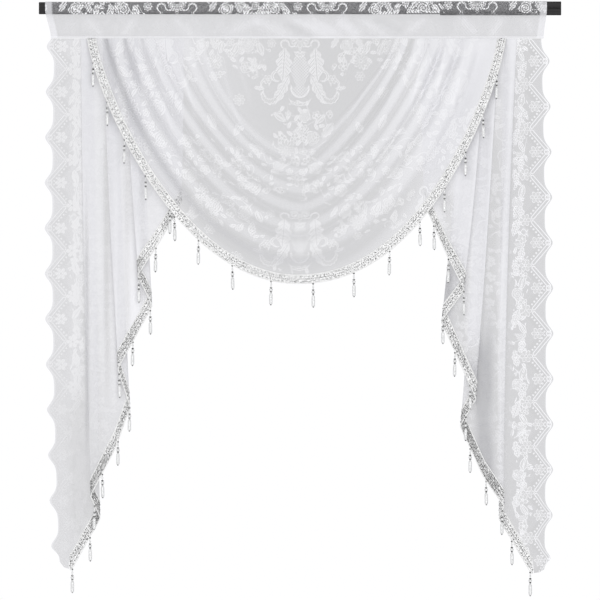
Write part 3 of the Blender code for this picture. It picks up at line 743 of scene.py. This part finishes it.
RIGHT_TAIL = (
    # kind, seam_out, middle_out, hem_out, hem_z, depth
    ("flat", 0.579, 0.5892, 0.586, -1.346, 0.0),
    ("flat", 0.559, 0.567, 0.574, -1.353, 0.002),
    ("flat", 0.549, 0.557, 0.566, -1.356, 0.003),
    ("fold", 0.49, 0.479, 0.477, -1.223, 0.008),
    ("fold", 0.5208, 0.499, 0.49, -1.195, -0.009),
    ("flat", 0.488, 0.466, 0.441, -1.123, -0.009),
    ("fold", 0.444, 0.418, 0.384, -1.0008, 0.001),
    ("fold", 0.4776, 0.453, 0.4224, -0.936, -0.02),
    ("fold", 0.396, 0.371, 0.3384, -0.75, -0.012),
    ("fold", 0.444, 0.426, 0.3936, -0.675, -0.033),
    ("flat", 0.36, 0.356, 0.35, -0.585, -0.031),
    ("flat", 0.288, 0.291, 0.298, -0.468, -0.034),
)
LEFT_CREASES = (
    # x0, z0, x1, z1, half_width, height, gathers (below 0, painted shade)
    (-0.513, -0.4, -0.511, -1.16, 0.0054, -0.004, -0.92),
    (-0.498, -0.6, -0.492, -1.26, 0.018, 0.002, -0.26),
    (-0.466, -0.18, -0.462, -0.96, 0.006, -0.004, -0.5),
    (-0.44, -0.26, -0.442, -1.0, 0.009, 0.004, 0.16),
    (-0.416, -0.3, -0.412, -0.9, 0.006, -0.0036, -0.3),
    (-0.54, -0.12, -0.546, -1.25, 0.012, 0.003, 0.1),
    (-0.38, -0.3, -0.372, -0.76, 0.007, -0.003, -0.24),
    (-0.398, -0.48, -0.394, -0.92, 0.02, 0.0026, 0.34),
    (-0.534, -0.9, -0.524, -1.3, 0.02, 0.0, -0.44),
)
RIGHT_CREASES = (
    # x0, z0, x1, z1, half_width, height, gathers (below 0, painted shade)
    (0.514, -0.02, 0.469, -1.0, 0.0064, 0.003, 0.34),
    (0.478, -0.76, 0.48, -1.3, 0.006, 0.003, 0.34),
    (0.472, -0.08, 0.438, -0.9, 0.007, 0.004, 0.15),
    (0.452, -0.18, 0.424, -0.82, 0.007, -0.004, -0.14),
    (0.434, -0.2, 0.404, -0.7, 0.007, 0.003, 0.12),
    (0.456, -0.66, 0.456, -1.26, 0.022, -0.004, -0.94),
    (0.414, -0.76, 0.44, -1.18, 0.022, -0.002, -1.1),
    (0.386, -0.56, 0.39, -0.9, 0.016, -0.002, -0.5),
    (0.384, -0.3, 0.366, -0.6, 0.008, 0.003, 0.16),
    (0.354, -0.56, 0.356, -0.9, 0.024, -0.002, -1.5),
    (0.352, -0.4, 0.36, -0.64, 0.02, -0.002, -0.5),
)
# The hollows beside the folded edges, darkened with painted shade: line of the tail's table, how wide,
# gathers (below 0).
LEFT_SHADED_HOLLOWS = ((7, 0.026, -0.16), (9, 0.020, -0.24))
RIGHT_SHADED_HOLLOWS = ((7, 0.060, -1.02), (9, 0.026, -0.30))
BORDER_ROSES = (
    # across, down, reach, turn
    (0.08, 0.0, 0.015, 0),
    (0.086, 0.123, 0.016, 90),
)
BORDER_LEAVES = (
    # across, down, long, wide, turn, lobes
    (0.076, 0.029, 0.044, 0.02, 80, 5),
    (0.09, 0.06, 0.046, 0.02, 100, 5),
    (0.074, 0.096, 0.04, 0.018, 75, 0),
    (0.076, 0.148, 0.044, 0.02, 96, 5),
    (0.09, 0.182, 0.048, 0.022, 72, 6),
    (0.074, 0.206, 0.034, 0.015, 120, 0),
)


def scallops(cloth):
    """The lace border, as a depth and a net. The cloth's places run inwards from the scallops' points and
    down from one of them."""
    inward, down = cloth.split()
    from_point = (0.5 - abs((down * (1 / SCALLOP_PITCH)) % 1.0 - 0.5)) * SCALLOP_PITCH
    run = SCALLOP_PITCH / 2
    slant = math.hypot(run, LINE_RISE)
    off = (inward - LINE_START) * (run / slant) - from_point * (LINE_RISE / slant)
    along = (inward - LINE_START) * (LINE_RISE / slant) + from_point * (run / slant)
    past_end = (abs(along - slant / 2) - (slant / 2 - LOOP_SHORT)).most(0.0)
    loops = LOOP_HALF_WIDE - abs(spot(past_end, off).length() - LOOP_ROUND)
    from_dot = spot(along % DOT_PITCH - DOT_PITCH / 2, off - DOT_OFF).length()
    dots = (DOT_REACH - from_dot).least(along - 0.012).least(slant - 0.010 - along)
    point_cell = spot(inward, from_point)
    at_points = [
        scroll(point_cell, 0.0110, 0.0, 0.0056, 0.0034, 0, 500, 0),
        daisy(point_cell, 0.0385, 0.0, 0.0150, 6),
        daisy(point_cell, 0.0660, run, 0.0160, 6),
    ]
    two_down = spot(inward, down % (2 * SCALLOP_PITCH))
    meander = [rose(two_down, *row) for row in BORDER_ROSES] + [leaf(two_down, *row) for row in BORDER_LEAVES]
    filling = sprays(cloth)
    band = (inward - 0.060).least(0.094 - inward) + wandering(cloth) * 0.25
    _, folded, _, _ = folded_down_middle(cloth)
    inner = deepest(twin_motifs(folded)).least((inward - 0.110) * 0.5)
    inner = inner.most(filling.least(inward - BORDER_INNER_EDGE + wandering(cloth))).least(0.0001)
    open_net = off.rise(0.0052, 0.0068) * off.rise(0.024, 0.016)
    ground = net(cloth) * (1 - open_net * 0.8) + off.rise(-0.003, -0.006) * 0.10
    return deepest([loops, dots, *at_points, *meander, inner, filling.least(band)]), ground


def soft_scallops(cloth):
    """The same border on softer lace, whose pattern fades towards the hem."""
    depth, ground = scallops(cloth)
    faded = cloth.split()[1].rise(0.30, 0.95)
    return depth.least(0.0016 - faded * 0.0015), ground + (net(cloth) - ground) * faded


def tail_columns(lines):
    """Rows along a smooth curve past the tail's lines: place, x and y at seam, middle and hem, hem z."""
    controls, heading = [], 1.0
    for place, (kind, seam_out, middle_out, hem_out, _, depth) in enumerate(lines):
        for side in (1, 0, -1) if kind == "fold" else (0,):
            row = [place - side * TURN_SHARE]
            for share, out in ((0.0, seam_out), (0.5, middle_out), (1.0, hem_out)):
                turn = TURN_AT_SEAM + (TURN_AT_HEM - TURN_AT_SEAM) * share
                pressed = TAIL_PRESS + (1 - TAIL_PRESS) * share**FLARE_CURVE
                row.append(-out - heading * TURN_INSET * turn * abs(side))
                row.append(TAIL_SEAM_Y + depth * pressed + side * turn)
            controls.append(row)
        if kind == "fold":
            heading = -heading
    controls = np.array(controls)
    columns = [controls[:1]]
    for i in range(1, len(controls) - 1):
        start = controls[0] if i == 1 else (controls[i - 1] + controls[i]) / 2
        end = controls[-1] if i == len(controls) - 2 else (controls[i] + controls[i + 1]) / 2
        steps = int(np.clip(math.dist(start[3:5], end[3:5]) / COLUMN_STEP, 6, 14))
        f = (np.arange(1, steps + 1) / steps)[:, None]
        columns.append(start * (1 - f) ** 2 + controls[i] * 2 * f * (1 - f) + end * f**2)
    columns = np.concatenate(columns)
    run = run_along(columns[:, 5:7])
    line_run = np.interp(np.arange(len(lines)), columns[:, 0], run)
    return np.column_stack([columns, np.interp(run, line_run, [line[4] for line in lines])])


def tail_surface(columns, shares):
    """Points of a tail: columns as above, each at its shares of the way from seam to hem."""
    f = shares[..., None]
    seam, middle, hem = (columns[:, None, k : k + 2] for k in (1, 3, 5))
    plan = seam * (2 * f - 1) * (f - 1) + middle * 4 * f * (1 - f) + hem * f * (2 * f - 1)
    top_z = SEAM_Z - SEWN_GAP
    z = top_z + (columns[:, None, 7] - top_z) * shares
    return np.concatenate([plan, z[..., None]], axis=2)


def shade_beside_folds(grid, columns, shaded_hollows):
    """Painted shade: gathers below 0 in the hollow just outside each folded edge, easing off outwards."""
    gathers_and_shade = np.zeros(grid.shape[:2])
    for line, wide, density_and_shade in shaded_hollows:
        edge = grid[np.argmin(np.abs(columns[:, 0] - line))]
        beyond = np.abs(np.interp(-grid[..., 2], -edge[:, 2], edge[:, 0])) - np.abs(grid[..., 0])
        share = np.clip(1 + beyond / wide, 0, 1) * smoothly(1 - beyond / 0.002)
        under_seam = smoothly((-0.10 - grid[..., 2]) / 0.32)
        over_hem = smoothly((grid[..., 2] - edge[-1, 2] + 0.10) / 0.10)
        gathers_and_shade += density_and_shade * share * under_seam * over_hem
    return gathers_and_shade


def make_tail(node, side, lines, creases, shaded_hollows, first_point, full, border_density_and_shade, border_wide, finish):
    """Makes the tail on this side, -1 or 1, worked out as a left one, and gives its columns. full and
    border_density_and_shade are the gathers of its two parts, below 0 painted shade, and border_wide the
    border's width high up and low down."""
    columns = tail_columns(lines)
    drop = SEAM_Z - SEWN_GAP - columns[:, 7]
    trimmed = columns[:, 0] > TIP_LINE - TURN_SHARE
    cloth_end = 1 - np.where(trimmed, BRAID_RISE * CLEAR_OF_BRAID, 0.0) / drop
    grid = tail_surface(columns, np.linspace(0, 1, TAIL_ROWS + 1)[None, :] * cloth_end[:, None])
    phase = np.abs(((grid[..., 2] - first_point) / SCALLOP_PITCH) % 1.0 - 0.5) * 2
    point = SCALLOP_DEPTH * np.sin(phase**SCALLOP_ROUND * math.pi / 2) ** 2
    point *= smoothly((grid[..., 2] - grid[:, -1:, 2]) / SCALLOP_FADE)
    middle_run = run_along(columns[:, 3:5])
    near_edge = smoothly(1 - middle_run / OUTER_EDGE_SOFT)[:, None]
    grid[..., 0] -= point * near_edge
    inward = SCALLOP_DEPTH + middle_run[:, None] - point * near_edge
    flat = np.stack([inward, first_point - grid[..., 2]], axis=2)
    forward, gathers_and_shade = creased(grid * (-side, 1, 1), creases)
    gathers_and_shade += shade_beside_folds(grid, columns, shaded_hollows)
    grid[..., 1] -= forward * np.linspace(0, 1, TAIL_ROWS + 1) ** 0.5 * smoothly(middle_run / 0.05)[:, None]
    hung_low = 1 - 0.8 * smoothly((-0.70 - grid[..., 2]) / 0.55)
    border = border_wide[0] + (border_wide[1] - border_wide[0]) * smoothly((-0.20 - grid[..., 2]) / 0.50)
    inner = smoothly((middle_run[:, None] - border) / BORDER_EDGE_SOFT)
    # Painted shade on the border where border_density_and_shade is below 0, as on the right tail.
    gathers_and_shade += hung_low * full * inner + border_density_and_shade * (1 - inner)
    gathers_and_shade += OUTER_HEM_DENSER * (middle_run < OUTER_HEM)[:, None]
    gathers_and_shade += SEAM_PLEATS_DENSER * smoothly(1 - (SEAM_Z - grid[..., 2]) / 0.10)
    grid[..., 0] *= -side
    piece = cloth_piece(node + "_lace", node, grid, flat, gathers_and_shade, finish)
    return columns


left_columns = make_tail(
    "left_tail", -1, LEFT_TAIL, LEFT_CREASES, LEFT_SHADED_HOLLOWS,
    first_point=-0.0912, full=0.60, border_density_and_shade=0.24, border_wide=(0.088, 0.092),
    finish=lace("left_tail_lace", soft_scallops, fill=0.16, cord=0.26, hidden=0.9),
)
right_columns = make_tail(
    "right_tail", 1, RIGHT_TAIL, RIGHT_CREASES, RIGHT_SHADED_HOLLOWS,
    first_point=-0.1260, full=0.74, border_density_and_shade=-0.20, border_wide=(0.082, 0.122),
    finish=lace("right_tail_lace", scallops, fill=0.20, cord=0.78, hidden=0.9),
)


# Beaded braid. The swag's curved hem and the tails' slanted hems are edged with a narrow woven tape
# between two twisted cords. A zigzag of silver seed beads is sewn along the tape, through it and the cloth.

TAPE_THICK, CORD_RADIUS, CORD_SIDES = 0.0016, 0.0015, 8
ZIGZAG_PITCH, ZIGZAG_REACH, SEEDS_A_PITCH, SEED_SIDES = 0.0096, 0.27, 4, 6
CORD_PLY, TAPE_STEP, CORD_STEP = 0.0048, 0.0024, 0.0012
SWAG_SEED, TAIL_SEED = 0.0016, 0.0018
TAPE_WHITE, TAPE_METAL = (0.94, 0.94, 0.94), (0.15, 0.15, 0.15)
CORD_WHITE, CORD_GREY = (0.93, 0.93, 0.925), (0.55, 0.55, 0.54)
SILVER_DARK, SILVER_BRIGHT = (0.07, 0.07, 0.07), (0.60, 0.60, 0.59)


def tape_finish(name, sparkle, patchy, band_shade):
    """White thread with a metallic one through it: sparkle is where its noise starts to show, patchy how
    unevenly it shows along the tape, and band_shade how much more of the dark metal is painted in bands
    low on each tail, as painted shade where the tape is turned away from the light."""
    thread = Finish(name, {"Specular IOR Level": 0.3, "Sheen Weight": 0.2})
    place = thread.place()
    flecks = place.noise(680.0, 0.0)
    thread.feed_relief(flecks, 0.0006)
    across, _ = place.split()
    right, up = across.rise(-0.01, 0.01), across.part("Z")
    # Painted shade: bands of height low on each tail where the dark metal shows more.
    left_shade_band = up.rise(-1.05, -1.09) * up.rise(-1.27, -1.22) * (1 - right)
    back = left_shade_band + up.rise(-0.94, -0.98) * up.rise(-1.19, -1.14) * right
    metal = flecks + (place.noise(11.0, 0.0) - 0.5) * patchy + back * band_shade
    metal = metal.rise(sparkle, sparkle + 0.06)
    thread.feed("Base Color", thread.blend(metal, TAPE_WHITE, TAPE_METAL))
    thread.feed("Metallic", metal * 0.5)
    thread.feed("Roughness", 0.75 - metal * 0.35)
    return thread


cord_thread = Finish("braid_cord", {"Specular IOR Level": 0.3})
strands = cord_thread.place().noise(900.0, 2.0)
cord_thread.feed("Base Color", cord_thread.blend(strands.rise(0.50, 0.62), CORD_WHITE, CORD_GREY))
cord_thread.feed("Roughness", 0.8 - strands * 0.3)
cord_thread.feed_relief(strands, 0.0005)

silver = Finish("silver_bead", {"Metallic": 1.0})
# Dark and bright specks: in part tarnish, in part painted glints and dark reflections standing in for those
# of cut beads.
tarnish_and_glints = silver.place().noise(420.0, 2.0)
silver.feed("Base Color", silver.blend(tarnish_and_glints.rise(0.42, 0.62), SILVER_DARK, SILVER_BRIGHT))
silver.feed("Roughness", 0.16 + tarnish_and_glints * 0.25)


def read_along(path, values, stops):
    """These values at stops along a path."""
    run = run_along(path)
    return np.stack([np.interp(stops, run, values[:, k]) for k in range(3)], axis=1)


def unit(vectors):
    return vectors / np.linalg.norm(vectors, axis=-1, keepdims=True)


def braid_frame(band, step):
    """Even stops along a braid: its middle, the way across it, and the ways out of it and along it."""
    middle = band.mean(axis=1)
    stops = np.arange(0.0, run_along(middle)[-1], step)
    across = read_along(middle, band[:, -1] - band[:, 0], stops)
    middle = read_along(middle, middle, stops)
    along = unit(np.gradient(middle, axis=0))
    return stops, middle, across, unit(np.cross(along, across)), along


def turned(centre, profile, sides):
    """Rings of a turned shape round this point, from rows of depth under it and radius."""
    angle = np.arange(sides) * math.tau / sides
    depth, radius = np.array(profile).T[..., None]
    level = np.repeat(-depth, sides, axis=1)
    return centre + np.stack([radius * np.cos(angle), radius * np.sin(angle), level], axis=2)


def strung(name, node, stacks, finishes):
    """One piece from stacks of rings, each closed at both ends and with its finish's number."""
    points, faces, used = [], [], []
    for rings, finish in stacks:
        place = len(points) + np.arange(rings[..., 0].size).reshape(rings.shape[:2])
        place = np.column_stack([place, place[:, :1]])
        quads = quads_between(place)
        faces += quads.tolist() + [place[0, -2::-1].tolist(), place[-1, :-1].tolist()]
        used += [finish] * (len(quads) + 2)
        points += rings.reshape(-1, 3).tolist()
    mesh = bpy.data.meshes.new(name)
    mesh.from_pydata(points, [], faces)
    for finish in finishes:
        mesh.materials.append(finish.material)
    mesh.polygons.foreach_set("material_index", used)
    hung_piece(mesh, node)


def make_braid(name, node, band, tape_thread, seed_radius):
    """A band of three rows of points, filled with tape and edged with cord, and its zigzag of seed beads."""
    _, middle, across, out, _ = braid_frame(band, TAPE_STEP)
    width = np.linspace(-0.5, 0.5, 6)
    crown = TAPE_THICK / 2 * (1 - 0.6 * (2 * width) ** 4)
    section = np.concatenate([np.stack([width, crown], 1), np.stack([width, -crown], 1)[::-1]])
    tape = middle[:, None] + across[:, None] * section[:, :1] + out[:, None] * section[:, 1:]
    stacks = [(tape, 0)]
    stops, middle, across, out, along = braid_frame(band, CORD_STEP)
    angle = np.arange(CORD_SIDES) * math.tau / CORD_SIDES
    plies = np.abs(np.cos(angle - stops[:, None] * math.pi / CORD_PLY))
    twisted = CORD_RADIUS * (0.72 + 0.28 * plies)[..., None]
    aside = np.cross(out, along)
    for edge in (-0.5, 0.5):
        around = out[:, None] * np.cos(angle)[:, None] + aside[:, None] * np.sin(angle)[:, None]
        stacks.append(((middle + across * edge)[:, None] + around * twisted, 1))
    up_seed = (-1.35, -0.7, 0.0, 0.7, 1.35)
    seed_profile = [(seed_radius * math.sin(t), seed_radius * math.cos(t)) for t in up_seed]
    stops, middle, across, _, _ = braid_frame(band, ZIGZAG_PITCH / SEEDS_A_PITCH)
    swing = ZIGZAG_REACH * (4 * np.abs((stops / ZIGZAG_PITCH) % 1.0 - 0.5) - 1)
    stacks += [(turned(centre, seed_profile, SEED_SIDES), 2) for centre in middle + across * swing[:, None]]
    strung(name, node, stacks, (tape_thread, cord_thread, silver))


swag_band = swag_surface(swag_across, np.linspace(BRAID_RAIL, len(SWAG_RAILS) - 1, 3))
swag_tape = tape_finish("swag_braid_tape", sparkle=0.555, patchy=0.0, band_shade=0.0)
make_braid("swag_braid", "swag_fringe", swag_band, swag_tape, SWAG_SEED)
tail_tape = tape_finish("tail_braid_tape", sparkle=0.52, patchy=0.20, band_shade=0.10)
tail_bands = {}
for side, tail, columns in ((-1, "left_tail", left_columns), (1, "right_tail", right_columns)):
    trimmed = columns[columns[:, 0] > TIP_LINE - TURN_SHARE]
    rise = BRAID_RISE / (SEAM_Z - SEWN_GAP - trimmed[:, 7:])
    tail_bands[tail] = tail_surface(trimmed, 1 - rise * np.linspace(1, 0, 3)) * (-side, 1, 1)
    make_braid(tail + "_braid", tail + "_fringe", tail_bands[tail], tail_tape, TAIL_SEED)


# Drops. Each hangs from the braid on a thread: a small silver bead, a long crystal, a round crystal between
# two silver caps, a small crystal, a long tube of clear glass and a silver end bead.

DROP_SIDES, DROP_RINGS = 12, 9
BEADS = (
    # finish (0 thread, 1 silver, 2 crystal), depth of its top, length, radius, how square its outline is
    (0, -0.003, 0.062, 0.0005, 8.0),
    (1, 0.001, 0.0046, 0.0023, 2.0),
    (2, 0.0062, 0.01, 0.0022, 1.4),
    (1, 0.016, 0.0044, 0.0032, 1.5),
    (2, 0.0198, 0.0068, 0.0042, 2.2),
    (1, 0.0258, 0.0038, 0.003, 1.5),
    (2, 0.0288, 0.0036, 0.0027, 1.4),
    (2, 0.0318, 0.0262, 0.004, 6.0),
    (1, 0.0572, 0.0032, 0.0018, 2.0),
)

crystal = Finish("clear_bead", {"IOR": 1.5, "Coat Weight": 0.6, "Coat Roughness": 0.05})
streaks = crystal.place().noise(420.0, 2.0)
crystal.feed("Base Color", crystal.blend(streaks, (0.78, 0.79, 0.80), (0.95, 0.95, 0.94)))
crystal.feed("Roughness", 0.05 + streaks * 0.15)
crystal.feed("Alpha", 0.62 + streaks.rise(0.4, 0.65) * 0.3)


def make_drops(name, node, edge, first, pitch, count):
    """Drops along the braid's lower edge, from the first one's place, each leaning a little its own way."""
    stacks = []
    roots = read_along(edge, edge, first + pitch * np.arange(count))
    for number, root in enumerate(roots):
        lean = np.array([math.sin(number * 2.4) * 0.022, math.sin(number * 1.7 + 1.0) * 0.018])
        for finish, top, length, radius, square in BEADS:
            sweep = -np.cos(np.linspace(0.12, 0.88, DROP_RINGS) * math.pi)
            sweep = np.sign(sweep) * np.abs(sweep) ** (2 / max(square, 2.0))
            wide = radius * (1 - np.abs(sweep) ** square) ** (1 / square)
            rings = turned(root, np.column_stack([top + length * (sweep + 1) / 2, wide]), DROP_SIDES)
            rings[..., :2] += lean * (root[2] - rings[..., 2:])
            stacks.append((rings, finish))
    strung(name, node, stacks, (cord_thread, silver, crystal))


make_drops("swag_drops", "swag_fringe", swag_band[:, -1], first=0.060, pitch=0.1006, count=16)
for tail, band in tail_bands.items():
    make_drops(tail + "_drops", tail + "_fringe", band[:, -1], first=0.008, pitch=0.0868, count=12)


# Floor, light and camera. A pale floor lies well below the drape. Two wide soft boxes in front, one high
# behind and a pale room light it. The room looks white straight on, and what shows through the net is
# painted grey, a painted shade behind the cloth.

FLOOR_X, FLOOR_Y, FLOOR_Z, LIGHTS_AIM_Z = 2.0, 1.5, -1.9, -0.7
ROOM_WHITE, ROOM_LIGHT, SHADE_SEEN_THROUGH_NET = (1.0, 1.0, 1.012, 1.0), 0.50, 0.62
VIEW_WIDE, VIEW_FROM, VIEW_Z, SENSOR = 1.44, 12.0, -0.6996, 36.0

floor_finish = Finish("pale_floor", {"Base Color": (0.92, 0.92, 0.92, 1.0), "Roughness": 0.8})
floor_corners = [(x * FLOOR_X, y * FLOOR_Y, FLOOR_Z) for x, y in ((-1, -1), (1, -1), (1, 1), (-1, 1))]
floor_mesh = bpy.data.meshes.new("floor")
floor_mesh.from_pydata(floor_corners, [], [(0, 1, 2, 3)])
floor_mesh.materials.append(floor_finish.material)
floor = bpy.data.objects.new("floor", floor_mesh)
bpy.context.scene.collection.objects.link(floor)

for light_name, light_place, size, power in (
    ("soft_box_left", (-0.4, -6.5, 0.0), 7.0, 252.0),
    ("soft_box_right", (0.7, -6.5, -1.2), 6.0, 88.0),
    ("soft_box_behind", (0.0, 5.5, 3.0), 4.0, 70.0),
):
    soft_box = bpy.data.lights.new(light_name, "AREA")
    soft_box.size = size
    soft_box.energy = power
    stand = bpy.data.objects.new(light_name, soft_box)
    stand.location = light_place
    aim = -stand.location
    aim.z += LIGHTS_AIM_Z
    stand.rotation_euler = aim.to_track_quat("-Z", "Y").to_euler()
    bpy.context.scene.collection.objects.link(stand)


class Room(Finish):
    """What lies behind the drape and lights it from all sides."""

    def __init__(self, name, constants):
        bpy.context.scene.world = bpy.data.worlds.new(name)
        self.begin(bpy.context.scene.world, "Background", constants)


room = Room("room", {"Color": ROOM_WHITE})
seen = room.node("ShaderNodeLightPath", {}, {}, "Is Camera Ray")
# Painted shade: camera rays that have passed through lace see the room at SHADE_SEEN_THROUGH_NET, not white.
behind = 1 - seen.part("Transparent Depth").least(1.0) * (1 - SHADE_SEEN_THROUGH_NET)
room.feed("Strength", ROOM_LIGHT + seen * (behind - ROOM_LIGHT))
bpy.context.scene.view_settings.view_transform = "Standard"

lens = bpy.data.cameras.new("camera")
lens.sensor_width = SENSOR
lens.lens = SENSOR * VIEW_FROM / VIEW_WIDE
lens.clip_end = 100.0
camera = bpy.data.objects.new("camera", lens)
camera.location = (0.0, -VIEW_FROM, VIEW_Z)
camera.rotation_euler = (math.pi / 2, 0.0, 0.0)
bpy.context.scene.collection.objects.link(camera)
bpy.context.scene.camera = camera
